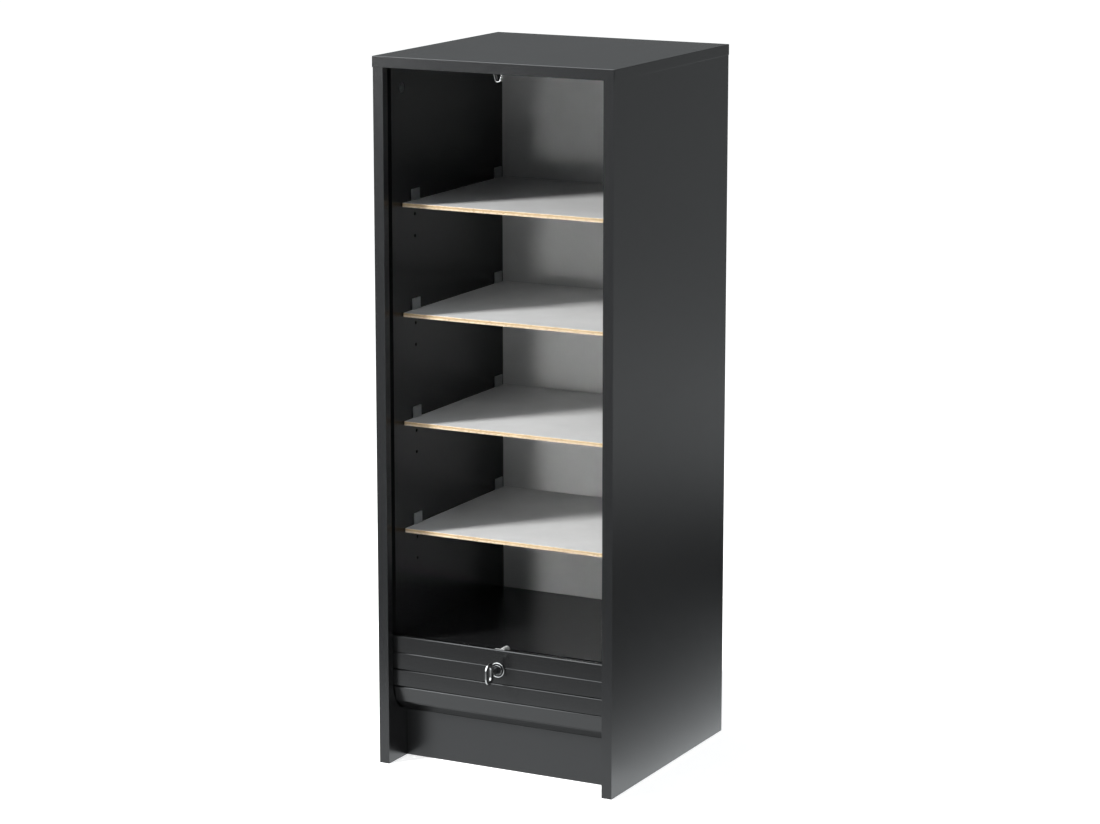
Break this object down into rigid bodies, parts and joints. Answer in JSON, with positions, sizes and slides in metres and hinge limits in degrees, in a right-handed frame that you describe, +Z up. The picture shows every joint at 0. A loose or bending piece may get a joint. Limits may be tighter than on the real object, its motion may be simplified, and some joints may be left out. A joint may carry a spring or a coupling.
{
  "type": "tambour cabinet",
  "caption": "Tall narrow office cabinet on a recessed plinth, with loose shelves and a slatted curtain that pulls up in side grooves and locks to the top.",
  "frame": {"origin": "on the floor, midway across the side panels and midway between the key's bow and the screw heads on the back, which is the bottom centre of the whole box", "axes": "+X to the right seen from the front, -Y out of the open front, +Z up"},
  "size_m": [0.382, 0.3996, 1.04],
  "materials": {
    "carcass_board": "black melamine on chipboard, satin",
    "shelf_board": "pale grey melamine on thin fibreboard, raw tan edges",
    "curtain_plastic": "black extruded plastic, satin",
    "clip_plastic": "translucent grey",
    "chrome": "polished nickel",
    "zinc": "die-cast zinc",
    "plated_steel": "zinc-plated steel",
    "beech": "plain beech"
  },
  "bodies": {
    "root": {"top_panel": "carcass_board", "left_side": "carcass_board", "right_side": "carcass_board", "base_panel": "carcass_board", "plinth": "carcass_board", "rear_rail": "carcass_board", "outer_back": "carcass_board", "inner_back": "shelf_board", "shelf_1": "shelf_board", "shelf_2": "shelf_board", "shelf_3": "shelf_board", "shelf_4": "shelf_board", "slat_02": "curtain_plastic", "slat_03": "curtain_plastic", "slat_04": "curtain_plastic", "slat_05": "curtain_plastic", "slat_06": "curtain_plastic", "slat_07": "curtain_plastic", "slat_08": "curtain_plastic", "slat_09": "curtain_plastic", "slat_10": "curtain_plastic", "slat_11": "curtain_plastic", "slat_12": "curtain_plastic", "slat_13": "curtain_plastic", "slat_14": "curtain_plastic", "slat_15": "curtain_plastic", "slat_16": "curtain_plastic", "slat_17": "curtain_plastic", "slat_18": "curtain_plastic", "slat_19": "curtain_plastic", "slat_20": "curtain_plastic", "slat_21": "curtain_plastic", "slat_22": "curtain_plastic", "slat_23": "curtain_plastic", "slat_24": "curtain_plastic", "tail_slats": "curtain_plastic", "shelf_clips": "clip_plastic", "strike": "chrome", "cam_fittings": "zinc", "cam_bolts": "plated_steel", "back_screws": "plated_steel", "dowels": "beech"},
    "tambour": {"lead_bar": "curtain_plastic", "slat_01": "curtain_plastic", "lock_barrel": "chrome", "lock_case": "zinc", "lock_cover": "zinc", "lock_screws": "plated_steel"},
    "lock_core": {"lock_core": "chrome"},
    "lock_bolt": {"lock_bolt": "zinc"},
    "key": {"key": "chrome"}
  },
  "joints": [
    {"name": "tambour_slide", "type": "slide", "parent": "root", "child": "tambour", "axis": [0, 0, 1], "range_m": [0, 0.8304]},
    {"name": "core_turn", "type": "hinge", "parent": "tambour", "child": "lock_core", "pos_m": [0, -0.148, 0.1631], "axis": [0, 1, 0], "range_deg": [0, 90]},
    {"name": "bolt_slide", "type": "slide", "parent": "tambour", "child": "lock_bolt", "axis": [0, -1, 0], "range_m": [0, 0.008]},
    {"name": "key_pull", "type": "slide", "parent": "lock_core", "child": "key", "axis": [0, -1, 0], "range_m": [0, 0.02]}
  ],
  "couplings": [
    {"joint": "bolt_slide", "follows": "core_turn", "m_per_rad": 0.005093}
  ]
}
